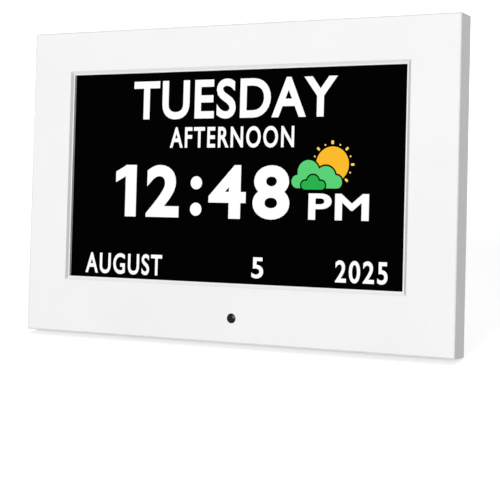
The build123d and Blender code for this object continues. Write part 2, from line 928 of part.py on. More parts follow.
with BuildPart() as memory_chips:
    slab(
        memory_width,
        memory_height,
        main_board_back,
        main_board_back + chip_height,
        [on_board(share) for share in memory_shares],
    )
finish(memory_chips, "memory_chips")

with BuildPart() as clock_crystal:
    slab(
        crystal_length,
        crystal_width,
        main_board_back,
        main_board_back + crystal_height,
        [on_board(crystal_share)],
        corner=crystal_corner,
    )
finish(clock_crystal, "clock_crystal")

cell_place = on_board(cell_share)
cell_seat = main_board_back + holder_floor
cell_top = cell_seat + cell_height
with BuildPart() as backup_cell:
    rod(cell_radius, cell_seat, cell_top, [cell_place])
    chamfer(backup_cell.edges().filter_by(GeomType.CIRCLE), cell_bevel)
finish(backup_cell, "backup_cell")

with BuildPart() as backup_cell_holder:
    rod(cell_radius + holder_gap + holder_wall, main_board_back, cell_top, [cell_place])
    rod(cell_radius + holder_gap, cell_seat, cell_top, [cell_place], mode=Mode.SUBTRACT)
    slab(
        3 * cell_radius,
        cell_radius,
        cell_seat,
        cell_top,
        [(cell_place[0], cell_place[1] + cell_radius)],
        mode=Mode.SUBTRACT,
    )
finish(backup_cell_holder, "backup_cell_holder")

with BuildPart() as capacitors:
    capacitor_places = [on_board(share) for share in capacitor_shares]
    rod(capacitor_radius, main_board_back, main_board_back + capacitor_height, capacitor_places)
    capacitor_tops = capacitors.faces().group_by(Axis.Y)[-1]
    chamfer(capacitor_tops.edges(), capacitor_bevel)
finish(capacitors, "capacitors")

with BuildPart() as power_coil:
    slab(
        coil_side,
        coil_side,
        main_board_back,
        main_board_back + coil_height,
        [on_board(coil_share)],
        corner=coil_corner,
    )
finish(power_coil, "power_coil")

# Sockets at the edge of the main board
with BuildPart() as usb_socket:
    with BuildSketch(across(mouth)) as usb_outline:
        with Locations((usb_depth, usb_up)):
            Rectangle(usb_height, usb_width)
    extrude(usb_outline.sketch, amount=usb_length)
    with BuildSketch(across(mouth)) as usb_inside:
        with Locations((usb_depth, usb_up)):
            Rectangle(usb_height - 2 * usb_shell, usb_width - 2 * usb_shell)
    extrude(usb_inside.sketch, amount=usb_length - usb_back_wall, mode=Mode.SUBTRACT)
    tongue_depth = usb_depth + usb_height / 2 - usb_shell - usb_tongue_gap - usb_tongue / 2
    with BuildSketch(across(mouth + usb_tongue_sink)) as usb_tongue_outline:
        with Locations((tongue_depth, usb_up)):
            Rectangle(usb_tongue, usb_width - 2 * usb_tongue_side)
    extrude(usb_tongue_outline.sketch, amount=usb_length - usb_tongue_sink - usb_shell)
finish(usb_socket, "usb_socket")

with BuildPart() as card_socket:
    with BuildSketch(across(mouth)) as card_outline:
        with Locations((card_depth, card_up)):
            Rectangle(card_height, card_width)
    extrude(card_outline.sketch, amount=card_length)
    with BuildSketch(across(mouth)) as card_inside:
        with Locations((card_depth, card_up)):
            Rectangle(card_height - 2 * card_shell, card_width - 2 * card_shell)
    extrude(card_inside.sketch, amount=card_length - card_back_wall, mode=Mode.SUBTRACT)
finish(card_socket, "card_socket")

jack_face = main_board_edge + jack_setback
with BuildPart() as power_jack:
    with BuildSketch(across(jack_face)) as jack_block:
        with Locations((jack_depth, jack_up)):
            Rectangle(jack_height, jack_width)
    extrude(jack_block.sketch, amount=jack_length)
    cross_bar(jack_nose_radius, mouth, jack_face, jack_depth, jack_up)
    cross_bar(
        jack_bore_radius,
        mouth,
        mouth + jack_bore_length,
        jack_depth,
        jack_up,
        mode=Mode.SUBTRACT,
    )
finish(power_jack, "power_jack")

with BuildPart() as power_jack_pin:
    pin_root = mouth + jack_bore_length
    cross_bar(jack_pin_radius, pin_root - jack_pin_length, pin_root, jack_depth, jack_up)
finish(power_jack_pin, "power_jack_pin")

# Button board, its switches and the buttons
with BuildPart() as button_board:
    slab(
        key_board_width,
        key_board_height,
        key_board_front,
        key_board_back,
        [(button_out, key_board_middle)],
        corner=board_corner,
    )
    rod(
        board_screw_radius + head_gap,
        key_board_front,
        key_board_back,
        key_post_places,
        mode=Mode.SUBTRACT,
    )
finish(button_board, "button_board")

with BuildPart() as button_board_screws:
    frame_screws(
        key_post_places,
        board_screw_radius,
        board_head_radius,
        board_head_height,
        board_screw_length,
        key_board_front,
        -1,
    )
finish(button_board_screws, "button_board_screws")

with BuildPart() as button_switches:
    slab(switch_side, switch_side, key_board_back, switch_top, button_places)
    rod(
        plunger_radius + plunger_gap,
        switch_top - plunger_hidden - button_travel - plunger_rest_gap,
        switch_top,
        button_places,
        mode=Mode.SUBTRACT,
    )
finish(button_switches, "button_switches")

button_names = ["left", "right", "down", "up", "back", "menu", "power"]
for name, place in zip(button_names, button_places):
    with BuildPart() as button_cap:
        rod(button_radius + button_flange, flange_front, cover_inner, [place])
        rod(button_radius, flange_front, body_depth + button_proud, [place])
        fillet(button_cap.faces().sort_by(Axis.Y)[-1].edges(), button_edge)
    finish(button_cap, f"button_{name}")
    with BuildPart() as plunger:
        rod(plunger_radius, switch_top - plunger_hidden, flange_front, [place])
    finish(plunger, f"switch_plunger_{name}")

# Speaker, held in its ring by two broad-headed screws
with BuildPart() as speaker_basket:
    basket_back = speaker_front - speaker_depth + magnet_thickness
    rod(speaker_radius, speaker_rear, speaker_front, [speaker_place])
    with BuildSketch(at_depth(speaker_rear)) as basket_mouth:
        with Locations(speaker_place):
            Circle(cone_radius + basket_wall)
    with BuildSketch(at_depth(basket_back)) as basket_end:
        with Locations(speaker_place):
            Circle(basket_radius)
    loft([basket_mouth.sketch, basket_end.sketch], ruled=True)
    with BuildSketch(at_depth(speaker_front)) as hollow_mouth:
        with Locations(speaker_place):
            Circle(cone_radius)
    with BuildSketch(at_depth(basket_back + basket_floor)) as hollow_end:
        with Locations(speaker_place):
            Circle(basket_radius - basket_wall)
    loft([hollow_mouth.sketch, hollow_end.sketch], ruled=True, mode=Mode.SUBTRACT)
finish(speaker_basket, "speaker_basket")

with BuildPart() as speaker_cone:
    cone_back = basket_back + basket_floor + cone_lift
    cone_edge = speaker_up + cone_radius - cone_gap
    cone_cap_edge = speaker_up + cone_cap_radius
    with BuildSketch(across(speaker_out)):
        with BuildLine():
            Polyline(
                (cone_back, speaker_up),
                (cone_back, cone_cap_edge),
                (speaker_front - cone_thickness, cone_edge - cone_rim),
                (speaker_front - cone_thickness, cone_edge),
                (speaker_front, cone_edge),
                (speaker_front, cone_edge - cone_rim - cone_thickness / 2),
                (cone_back + 3 * cone_thickness, cone_cap_edge + cone_thickness),
                (cone_back + 3 * cone_thickness + cone_cap_rise, speaker_up),
                close=True,
            )
        make_face()
    revolve(axis=Axis((speaker_out, 0, speaker_up), (0, 1, 0)))
finish(speaker_cone, "speaker_cone")

with BuildPart() as speaker_magnet:
    rod(magnet_radius, basket_back - magnet_thickness, basket_back, [speaker_place])
    chamfer(speaker_magnet.faces().sort_by(Axis.Y)[0].edges(), magnet_bevel)
finish(speaker_magnet, "speaker_magnet")

with BuildPart() as speaker_seal:
    rod(speaker_radius, speaker_front, cover_inner, [speaker_place])
    rod(cone_radius + seal_gap, speaker_front, cover_inner, [speaker_place], mode=Mode.SUBTRACT)
finish(speaker_seal, "speaker_seal")

with BuildPart() as speaker_screws:
    frame_screws(
        clamp_places,
        board_screw_radius,
        clamp_head_radius,
        board_head_height,
        clamp_screw_length,
        speaker_rear,
        -1,
    )
finish(speaker_screws, "speaker_screws")

# Folding leg, drawn on a plane that is turned to its open place
leg_plane = Plane(
    origin=(0, hinge_depth, hinge_height),
    x_dir=(-1, 0, 0),
    z_dir=(0, math.cos(spread), math.sin(spread)),
)
lean = math.radians(lean_angle)
table = Plane(origin=(0, rim_depth, 0), x_dir=(1, 0, 0), z_dir=(0, -math.sin(lean), math.cos(lean)))
leg_end = -hinge_height * 1.1
pocket_top = -barrel_radius - leg_rim
pocket_bottom = -hinge_height + 3 * leg_rim + foot_thickness
with BuildPart() as stand_leg:
    with BuildSketch(leg_plane.offset(-half_leg)) as leg_outline:
        Polygon(*leg_taper(heel, leg_end, 0), align=None)
    extrude(leg_outline.sketch, amount=leg_thickness)
    side_edges = stand_leg.edges().filter_by(GeomType.LINE).group_by(Edge.length)[-1]
    fillet(side_edges, leg_round)
    with BuildSketch(across(-leg_top_width / 2)) as barrel:
        with Locations((hinge_depth, hinge_height)):
            Circle(barrel_radius)
    extrude(barrel.sketch, amount=leg_top_width)
    with BuildSketch(leg_plane.offset(-half_leg)) as leg_pocket:
        Polygon(*leg_taper(pocket_top, pocket_bottom, -leg_rim), align=None)
    extrude(leg_pocket.sketch, amount=leg_thickness - leg_skin, mode=Mode.SUBTRACT)
    rib_step = (pocket_top - pocket_bottom) / (leg_rib_count + 1)
    for rib in range(1, leg_rib_count + 1):
        rib_at = pocket_top - rib * rib_step
        with BuildSketch(leg_plane.offset(leg_rib_sink - half_leg)) as rib_outline:
            Polygon(*leg_taper(rib_at + leg_rib / 2, rib_at - leg_rib / 2, -leg_rim / 2), align=None)
        extrude(rib_outline.sketch, amount=leg_thickness - leg_skin)
    cross_bar(pin_radius + pin_turn, -pin_end, pin_end, hinge_depth, hinge_height, mode=Mode.SUBTRACT)
    split(bisect_by=table.offset(foot_thickness), keep=Keep.TOP)
finish(stand_leg, "stand_leg")

with BuildPart() as leg_foot:
    with BuildSketch(leg_plane.offset(foot_sink - half_leg)) as foot_outline:
        Polygon(*leg_taper(-hinge_height / 2, leg_end, -foot_inset), align=None)
    extrude(foot_outline.sketch, amount=leg_thickness - 2 * foot_sink)
    split(bisect_by=table.offset(foot_thickness), keep=Keep.BOTTOM)
    split(bisect_by=table, keep=Keep.TOP)
finish(leg_foot, "leg_foot")

with BuildPart() as hinge_pin:
    cross_bar(pin_radius, -pin_end, pin_end, hinge_depth, hinge_height)
finish(hinge_pin, "hinge_pin")

with BuildPart() as hinge_washers:
    for side in (-1, 1):
        inner = side * (leg_top_width / 2 + (channel_gap - washer_thickness) / 2)
        outer = inner + side * washer_thickness
        cross_bar(washer_radius, min(inner, outer), max(inner, outer), hinge_depth, hinge_height)
    cross_bar(
        pin_radius + screw_gap,
        -pin_end,
        pin_end,
        hinge_depth,
        hinge_height,
        mode=Mode.SUBTRACT,
    )
finish(hinge_washers, "hinge_washers")


def wire_pair(points, radii, apart):
    """Adds two wires, apart by the given vector, along one route that starts at the side of a plug."""
    for side in (-0.5, 0.5):
        stops = [Vector(*point) + Vector(*apart) * side for point in points]
        stops[0].X = points[0][0]
        with BuildLine() as route:
            FilletPolyline(*stops, radius=radii)
        start = route.line @ 0
        heading = route.line % 0
        with BuildSketch(Plane(origin=start, z_dir=heading)) as section:
            Circle(wire_radius)
        sweep(section.sketch, path=route.line)


# Wires from the main board to the speaker and to the sensor board, with their plugs
plug_front = main_board_front - wire_plug_depth
plug_wire_depth = plug_front + wire_plug_wall + wire_radius
sensor_wire_depth = (tray_back + cover_front) / 2
plug_high = ribbon_plug_low - wire_plug_gap - wire_plug_height / 2
with BuildPart() as wire_plugs:
    plug_places = [(plug_out, plug_high), (plug_out, ribbon_leaves_at)]
    slab(wire_plug_width, wire_plug_height, plug_front, main_board_front, plug_places)
finish(wire_plugs, "wire_plugs")

with BuildPart() as case_wires:
    plug_side = plug_out + wire_plug_width / 2
    turn_out = speaker_out - wire_turn_out
    wire_top = speaker_up + wire_turn_rise
    wire_pair(
        [
            (plug_side, plug_wire_depth, plug_high),
            (turn_out - wire_turn_run, plug_wire_depth, plug_high),
            (turn_out, plug_wire_depth, wire_top),
            (speaker_out, plug_wire_depth, wire_top),
            (speaker_out, basket_back - magnet_thickness, wire_top),
        ],
        [wire_bend, wire_bend, wire_end_bend],
        (0, 0, wire_apart),
    )
    sensor_wire = dot_out - sensor_wire_out
    sensor_rear = sensor_back + sensor_board_thickness
    wire_pair(
        [
            (plug_side, plug_wire_depth, ribbon_leaves_at),
            (sensor_wire, plug_wire_depth, ribbon_leaves_at),
            (sensor_wire, sensor_wire_depth, ribbon_leaves_at - wire_dip),
            (sensor_wire, sensor_wire_depth, dot_up),
            (sensor_wire, sensor_rear, dot_up),
        ],
        [wire_low_bend, wire_low_bend, (sensor_wire_depth - sensor_rear) / 2],
        (wire_apart, 0, wire_apart),
    )
finish(case_wires, "case_wires")

# Lean the finished pieces back and put them in the middle of their footprint
settle = Location((0, 0, 0), (-lean_angle, 0, 0)) * Location((0, -rim_depth, 0))
box = Compound(children=[piece.moved(settle) for piece in pieces]).bounding_box()
centre = Location((0, -(box.min.Y + box.max.Y) / 2, 0))
print("moved back by", round(centre.position.Y, 4))
os.makedirs("parts", exist_ok=True)
for piece in pieces:
    placed = piece.moved(centre * settle)
    placed.label = piece.label
    export_step(placed, f"parts/{piece.label}.step")
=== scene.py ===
"""A white framed day clock that leans back on its folding leg, on a white table.

Metres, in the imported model's frame: X to the right as the viewer sees the display, Y to the back,
Z up. Pieces are drawn on the upright clock, with depths behind its face and heights above its
bottom edge, and then lean back with it.
"""

import bpy
import json
import math
from mathutils import Matrix, Vector


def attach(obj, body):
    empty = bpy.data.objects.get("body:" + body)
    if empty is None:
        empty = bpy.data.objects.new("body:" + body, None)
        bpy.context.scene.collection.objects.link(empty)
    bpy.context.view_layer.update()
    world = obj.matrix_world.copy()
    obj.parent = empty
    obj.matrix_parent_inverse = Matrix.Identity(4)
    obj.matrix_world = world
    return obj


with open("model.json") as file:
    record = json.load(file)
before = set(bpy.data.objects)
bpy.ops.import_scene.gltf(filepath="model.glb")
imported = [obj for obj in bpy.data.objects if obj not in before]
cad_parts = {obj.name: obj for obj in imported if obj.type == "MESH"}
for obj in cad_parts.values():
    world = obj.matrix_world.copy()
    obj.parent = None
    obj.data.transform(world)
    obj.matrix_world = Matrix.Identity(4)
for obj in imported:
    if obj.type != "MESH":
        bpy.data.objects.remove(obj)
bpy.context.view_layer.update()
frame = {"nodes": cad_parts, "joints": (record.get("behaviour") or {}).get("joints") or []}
mm = 0.001

# Front frame
# One white moulding with four flat faces that meet in mitres, a sloped lip round the window and a
# deep plain rim. It is satin plastic with a very fine even grain, and painted shade darkens its
# face along the outermost edge.
lean = math.radians(12.0)
hinge = next(joint for joint in frame["joints"] if joint["name"] == "stand_hinge")
hinge_place = Vector(hinge["pos_m"])
hinge_depth = 20.6 * mm  # behind the face of the upright clock
hinge_height = 82.0 * mm  # above its bottom edge
frame_width = 225.0 * mm
frame_height = 148.5 * mm
frame_white = (0.905, 0.905, 0.905, 1.0)
frame_roughness = 0.5
frame_shine = 0.3
frame_grain = 0.25 * mm
# Painted shade: the face is darkened by a share along its outermost edge, where its rounding turns
# from the light.
shaded_edge_width = 0.7 * mm
shaded_edge_depth = 1.1 * mm  # as far back as the edge's rounding reaches
painted_edge_shade = 0.17


def new_material(name, colour, roughness):
    """A material with its shader and the piece's own coordinates, ready for a pattern."""
    material = bpy.data.materials.new(name)
    material.use_nodes = True
    shader = material.node_tree.nodes["Principled BSDF"]
    shader.inputs["Base Color"].default_value = colour
    shader.inputs["Roughness"].default_value = roughness
    return material, shader, material.node_tree.nodes.new("ShaderNodeTexCoord")


def join(owner, start, end):
    """Links an output socket to an input socket, in the nodes of a material or the world."""
    owner.node_tree.links.new(start, end)


def noise(material, coordinates, size, detail=2.0, stretch=(1.0, 1.0, 1.0)):
    """A noise pattern whose lumps are about the given size across."""
    mapping = material.node_tree.nodes.new("ShaderNodeMapping")
    mapping.inputs["Scale"].default_value = stretch
    pattern = material.node_tree.nodes.new("ShaderNodeTexNoise")
    pattern.inputs["Scale"].default_value = 1.0 / size
    pattern.inputs["Detail"].default_value = detail
    join(material, coordinates.outputs["Object"], mapping.inputs["Vector"])
    join(material, mapping.outputs["Vector"], pattern.inputs["Vector"])
    return pattern.outputs["Fac"]


def tint(material, shader, pattern, colour, change):
    """Lets the colour wander a little round its own value, as the pattern rises and falls."""
    ramp = material.node_tree.nodes.new("ShaderNodeValToRGB")
    ends = [(0.3, 1 - change), (0.7, 1 + change)]  # most of a noise pattern lies between them
    for stop, (position, share) in zip(ramp.color_ramp.elements, ends):
        stop.position = position
        stop.color = tuple(min(1, part * share) for part in colour[:3]) + (1.0,)
    join(material, pattern, ramp.inputs["Fac"])
    join(material, ramp.outputs["Color"], shader.inputs["Base Color"])


def spread(owner, pattern, low, high, start=0.0, end=1.0):
    """Turns a pattern that runs from start to end into one that runs from low to high."""
    span = owner.node_tree.nodes.new("ShaderNodeMapRange")
    span.inputs["From Min"].default_value = start
    span.inputs["From Max"].default_value = end
    span.inputs["To Min"].default_value = low
    span.inputs["To Max"].default_value = high
    join(owner, pattern, span.inputs["Value"])
    return span.outputs["Result"]


def raise_skin(material, shader, pattern, height):
    """Lets the surface rise and fall with the pattern by about the given height."""
    bump = material.node_tree.nodes.new("ShaderNodeBump")
    bump.inputs["Strength"].default_value = 1.0
    bump.inputs["Distance"].default_value = height
    join(material, pattern, bump.inputs["Height"])
    join(material, bump.outputs["Normal"], shader.inputs["Normal"])


def moulded_plastic(name, colour, roughness, grain, height, change=0.012, shine=0.5):
    """Moulded plastic: an even fine grain, and a colour that varies a hair from place to place."""
    material, shader, place = new_material(name, colour, roughness)
    shader.inputs["Specular IOR Level"].default_value = shine
    tint(material, shader, noise(material, place, 40 * mm), colour, change)
    skin = noise(material, place, grain, 3.0)
    gloss = spread(material, skin, roughness - 0.05, roughness + 0.05)
    join(material, gloss, shader.inputs["Roughness"])
    raise_skin(material, shader, skin, height)
    return material


def finish_nodes(material, *names):
    """Gives CAD nodes their finished material."""
    for name in names:
        frame["nodes"][name].material_slots[0].material = material


def reckon(owner, operation, first, second=0.0):
    """One step of arithmetic among the nodes, on output sockets or plain numbers."""
    step = owner.node_tree.nodes.new("ShaderNodeMath")
    step.operation = operation
    for socket, value in zip(step.inputs, (first, second)):
        if isinstance(value, float):
            socket.default_value = value
        else:
            join(owner, value, socket)
    return step.outputs["Value"]


def along(material, coordinates, direction, start):
    """How far a point lies along a direction, counted from where it starts."""
    reach = material.node_tree.nodes.new("ShaderNodeVectorMath")
    reach.operation = "DOT_PRODUCT"
    reach.inputs[1].default_value = direction
    join(material, coordinates.outputs["Object"], reach.inputs[0])
    return reckon(material, "SUBTRACT", reach.outputs["Value"], start.dot(direction))


def paint_edge_shade(material):
    """Paints shade on the outermost edge of the frame's face, down to the end of its rounding,
    where it turns away from the light.
    """
    shader = material.node_tree.nodes["Principled BSDF"]
    place = material.node_tree.nodes["Texture Coordinate"]
    right = Vector((1, 0, 0))
    upward = Vector((0, math.sin(lean), math.cos(lean)))
    backward = Vector((0, math.cos(lean), -math.sin(lean)))
    middle_rise = frame_height / 2 - hinge_height
    face_middle = hinge_place - backward * hinge_depth + upward * middle_rise
    out = reckon(material, "ABSOLUTE", along(material, place, right, face_middle))
    out = reckon(material, "SUBTRACT", out, frame_width / 2 - shaded_edge_width)
    high = reckon(material, "ABSOLUTE", along(material, place, upward, face_middle))
    high = reckon(material, "SUBTRACT", high, frame_height / 2 - shaded_edge_width)
    outermost = reckon(material, "GREATER_THAN", reckon(material, "MAXIMUM", out, high), 0.0)
    depth = along(material, place, backward, face_middle)
    foremost = reckon(material, "LESS_THAN", depth, shaded_edge_depth)
    edge = reckon(material, "MULTIPLY", outermost, foremost)
    light = reckon(material, "SUBTRACT", 1.0, reckon(material, "MULTIPLY", edge, painted_edge_shade))
    shade = material.node_tree.nodes.new("ShaderNodeVectorMath")
    shade.operation = "SCALE"
    join(material, shader.inputs["Base Color"].links[0].from_socket, shade.inputs[0])
    join(material, light, shade.inputs["Scale"])
    join(material, shade.outputs["Vector"], shader.inputs["Base Color"])


satin_white = moulded_plastic(
    "satin white plastic",
    frame_white,
    frame_roughness,
    frame_grain,
    0.004 * mm,
    shine=frame_shine,
)
# painted shade along the outer edge of the face
paint_edge_shade(satin_white)
finish_nodes(satin_white, "front_frame")

# Painted shade on the window lip
# Thin satin foil on the sloped lip of the window, in four mitred strips, that carries painted
# shade. The two upright strips are a silver grey painted shade and the two long ones a lighter,
# nearly white painted shade, and the lip's narrow bead is bare inside them.
window_width = 176.0 * mm
window_height = 99.4 * mm
window_middle = 77.3 * mm
lip_width = 1.9 * mm
lip_slope = 1.3 * mm  # width of its sloped part, without the bead
lip_depth = 0.7 * mm
foil_thickness = 0.06 * mm
foil_roughness = 0.45
foil_grain = 0.3 * mm
# painted shade: grey on the upright strips and lighter on the long ones, as light falls on the
# lip's slopes
upright_lip_shade_grey = (0.545, 0.545, 0.545, 1.0)
long_lip_shade_grey = (0.83, 0.83, 0.83, 1.0)
weld = 0.002 * mm  # corners that are closer than this become one


def deselect():
    """Leaves object mode's selection empty."""
    bpy.ops.object.select_all(action="DESELECT")


def hold(piece):
    """Makes one piece the only selected one, and the active one."""
    deselect()
    piece.select_set(True)
    bpy.context.view_layer.objects.active = piece


def settle(piece, name, material, body):
    """Leans a finished piece back as the clock leans, names it and lets it ride its body."""
    hold(piece)
    bpy.ops.object.transform_apply(location=True, rotation=True, scale=True)
    piece.location = -Vector((0, hinge_depth, hinge_height))
    bpy.ops.object.transform_apply(location=True, rotation=False, scale=False)
    piece.rotation_euler = (-lean, 0, 0)
    bpy.ops.object.transform_apply(location=False, rotation=True, scale=False)
    piece.location = hinge_place
    bpy.ops.object.transform_apply(location=True, rotation=False, scale=False)
    bpy.ops.object.mode_set(mode="EDIT")
    bpy.ops.mesh.select_all(action="SELECT")
    bpy.ops.mesh.remove_doubles(threshold=weld)
    bpy.ops.mesh.normals_make_consistent(inside=False)
    bpy.ops.object.mode_set(mode="OBJECT")
    piece.name = name
    piece.data.name = name
    piece.data.materials.clear()
    piece.data.materials.append(material)
    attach(piece, body)


def lip_shade_strips(upright):
    """The two upright or the two long strips of the painted shade on the window's lip, cut to
    mitres.
    """
    deselect()
    bpy.ops.mesh.primitive_plane_add(size=1.0, rotation=(math.pi / 2, 0, 0))
    piece = bpy.context.object
    bpy.ops.object.transform_apply(location=False, rotation=True, scale=True)
    piece.scale = (window_width + 2 * lip_width, 1.0, window_height + 2 * lip_width)
    piece.location = (0, 0, window_middle)
    bpy.ops.object.transform_apply(location=True, rotation=False, scale=True)
    bpy.ops.object.mode_set(mode="EDIT")
    bpy.ops.mesh.select_all(action="SELECT")
    bpy.ops.mesh.inset(thickness=lip_slope)
    bpy.ops.transform.translate(value=(0, lip_depth, 0))
    bpy.ops.mesh.delete(type="FACE")
    bpy.ops.mesh.select_mode(type="FACE")
    bpy.ops.mesh.select_all(action="DESELECT")
    bpy.ops.object.mode_set(mode="OBJECT")
    for face in piece.data.polygons:
        beside = abs(face.center.x) > window_width / 2
        face.select = beside != upright
    bpy.ops.object.mode_set(mode="EDIT")
    bpy.ops.mesh.delete(type="FACE")
    bpy.ops.object.mode_set(mode="OBJECT")
    sheet = piece.modifiers.new("sheet", "SOLIDIFY")
    sheet.thickness = foil_thickness
    sheet.offset = 0.0
    bpy.ops.object.modifier_apply(modifier=sheet.name)
    return piece


def painted_shade_foil(name, colour):
    """Thin plastic foil with a satin face, whose colour is painted shade."""
    return moulded_plastic(name, colour, foil_roughness, foil_grain, 0.003 * mm)


upright_lip_shade_foil = painted_shade_foil("painted shade of the upright lips", upright_lip_shade_grey)
long_lip_shade_foil = painted_shade_foil("painted shade of the long lips", long_lip_shade_grey)
# the lip's painted shade, grey on the upright strips and lighter on the long ones
settle(lip_shade_strips(True), "window_lip_shade_upright", upright_lip_shade_foil, "case")
settle(lip_shade_strips(False), "window_lip_shade_long", long_lip_shade_foil, "case")

# Display panel
# The dark sheet of the display: glass with a fine matt film on it against glare, which shows black
# where nothing is lit. It lies behind the window on a thin foam gasket.
panel_black = (0.0004, 0.0004, 0.0005, 1.0)
panel_shine = 0.003


def anti_glare(name, colour):
    """Dark glass under a matt film that scatters what it mirrors."""
    material, shader, place = new_material(name, colour, 0.5)
    shader.inputs["Specular IOR Level"].default_value = panel_shine
    film = noise(material, place, 0.12 * mm, 2.0)
    join(material, spread(material, film, 0.42, 0.55), shader.inputs["Roughness"])
    raise_skin(material, shader, film, 0.001 * mm)
    tint(material, shader, noise(material, place, 30 * mm), colour, 0.1)
    return material


finish_nodes(anti_glare("display panel", panel_black), "display_panel")
foam_black = (0.012, 0.012, 0.013, 1.0)
foam = moulded_plastic("black foam", foam_black, 0.9, 0.5 * mm, 0.06 * mm, 0.2)
finish_nodes(foam, "display_gasket")

# Readout
# The lit letters and figures of the display, in white. They show a weekday, a part of the day, the
# time and the date, and each line is fitted to its own place on the panel.
panel_depth = 2.5 * mm
lit_depth = 0.04 * mm
lit_front = panel_depth - lit_depth
letter_white = (1.0, 1.0, 1.0, 1.0)
line_spacing = 1.07


def glow(name, colour):
    """Light that the display gives off: its small lit dots make it a touch uneven."""
    material, shader, place = new_material(name, (0, 0, 0, 1), 0.6)
    shader.inputs["Specular IOR Level"].default_value = 0.0
    shader.inputs["Emission Color"].default_value = colour
    strength = spread(material, noise(material, place, 0.3 * mm), 0.97, 1.03)
    join(material, strength, shader.inputs["Emission Strength"])
    return material


def lettering(words, left, right, bottom, top, weight, spacing=line_spacing):
    """Bold letters that fill a place on the display, given in the upright clock's X and Z."""
    deselect()
    bpy.ops.object.text_add()
    piece = bpy.context.object
    piece.data.body = words
    piece.data.space_character = spacing
    piece.data.resolution_u = 6
    piece.data.bevel_depth = weight
    piece.data.bevel_resolution = 1
    bpy.ops.object.convert(target="MESH")
    corners = [Vector(corner) for corner in piece.bound_box]
    low = Vector(min(corner[axis] for corner in corners) for axis in range(3))
    high = Vector(max(corner[axis] for corner in corners) for axis in range(3))
    size = high - low
    piece.scale = ((right - left) / size.x, (top - bottom) / size.y, lit_depth / size.z)
    middle = (low + high) / 2
    piece.location = [-middle[axis] * piece.scale[axis] for axis in range(3)]
    bpy.ops.object.transform_apply(location=True, rotation=False, scale=True)
    piece.rotation_euler = (math.pi / 2, 0, 0)
    piece.location = ((left + right) / 2, panel_depth - lit_depth / 2, (bottom + top) / 2)
    return piece


letter_light = glow("white light of the letters", letter_white)
lines = [  # left, right, bottom and top in millimetres, then the strokes' weight and the spacing
    ("readout_weekday", "TUESDAY", -54.0, 54.1, 104.4, 123.2, 0.024, line_spacing),
    ("readout_day_part", "AFTERNOON", -33.0, 33.0, 90.7, 100.7, 0.022, 1.18),
    ("readout_day_half", "PM", 41.0, 70.6, 58.0, 69.9, 0.024, line_spacing),
    ("readout_month", "AUGUST", -79.6, -35.6, 29.5, 39.6, 0.02, 1.16),
    ("readout_day", "5", 12.8, 18.9, 30.4, 40.1, 0.02, line_spacing),
    ("readout_year", "2025", 55.0, 80.2, 30.2, 40.2, 0.02, 1.18),
]
for name, words, left, right, bottom, top, weight, spacing in lines:
    line = lettering(words, left * mm, right * mm, bottom * mm, top * mm, weight, spacing)
    settle(line, name, letter_light, "case")

# Time
# The largest figures, each in its own fixed place as on every such display, with two round dots
# between the hours and the minutes. The first figure is drawn as a stem with a slanted flag.
figure_low = 57.6 * mm
figure_high = 82.6 * mm
figure_weight = 0.034
stem_width = 6.2 * mm
stem_x = -54.4 * mm
flag_width = 6.1 * mm
flag_height = 5.2 * mm
flag_x = -60.05 * mm
flag_z = figure_high - 2.65 * mm
flag_slant = 3.2 * mm
colon_radius = 3.1 * mm
colon_x = -17.8 * mm
colon_heights = (61.7 * mm, 74.2 * mm)
hair = 0.0005 * mm  # plates that are to be merged differ by this, so that they share no face
figures = [
    ("readout_hour_units", "2", -45.6, -27.2),
    ("readout_minute_tens", "4", -11.0, 8.8),
    ("readout_minute_units", "8", 12.4, 31.4),
]
for name, words, left, right in figures:
    figure = lettering(words, left * mm, right * mm, figure_low, figure_high, figure_weight)
    settle(figure, name, letter_light, "case")


def bar(width, height, x, z, front, back, turn=0.0, rounding=0.3):
    """A flat bar that faces the viewer, turned about its middle, with round or square corners."""
    deselect()
    bpy.ops.mesh.primitive_cube_add(size=1, location=(0, 0, 0))
    piece = bpy.context.object
    piece.scale = (width, back - front, height)
    bpy.ops.object.transform_apply(location=False, rotation=False, scale=True)
    if rounding > 0:
        bpy.ops.object.mode_set(mode="EDIT")
        bpy.ops.mesh.select_all(action="DESELECT")
        bpy.ops.object.mode_set(mode="OBJECT")
        for edge in piece.data.edges:
            ends = [piece.data.vertices[index].co for index in edge.vertices]
            edge.select = abs((ends[1] - ends[0]).normalized().y) > 0.9  # runs front to back
        bpy.ops.object.mode_set(mode="EDIT")
        bpy.ops.mesh.select_mode(type="EDGE")
        bpy.ops.mesh.bevel(offset=rounding * min(width, height), segments=4)
        bpy.ops.object.mode_set(mode="OBJECT")
    piece.rotation_euler = (0, turn, 0)
    piece.location = (x, (front + back) / 2, z)
    bpy.ops.object.transform_apply(location=True, rotation=True, scale=True)
    return piece


def merge(pieces):
    """Makes one closed plate from plates that cross each other."""
    base = pieces[0]
    for other in pieces[1:]:
        hold(base)
        union = base.modifiers.new("union", "BOOLEAN")
        union.operation = "UNION"
        union.object = other
        bpy.ops.object.modifier_apply(modifier=union.name)
        bpy.data.objects.remove(other)
    return base


stem = bar(
    stem_width,
    figure_high - figure_low,
    stem_x,
    (figure_low + figure_high) / 2,
    lit_front,
    panel_depth,
    rounding=0.0,
)
flag = bar(
    flag_width,
    flag_height,
    flag_x,
    flag_z,
    lit_front - hair,
    panel_depth + hair,
    rounding=0.0,
)
bpy.ops.object.mode_set(mode="EDIT")
bpy.ops.mesh.select_mode(type="VERT")
bpy.ops.mesh.select_all(action="DESELECT")
bpy.ops.object.mode_set(mode="OBJECT")
for vertex in flag.data.vertices:
    vertex.select = vertex.co.x < flag_x
bpy.ops.object.mode_set(mode="EDIT")
bpy.ops.transform.translate(value=(0, 0, -flag_slant))
bpy.ops.object.mode_set(mode="OBJECT")
settle(merge([stem, flag]), "readout_hour_tens", letter_light, "case")


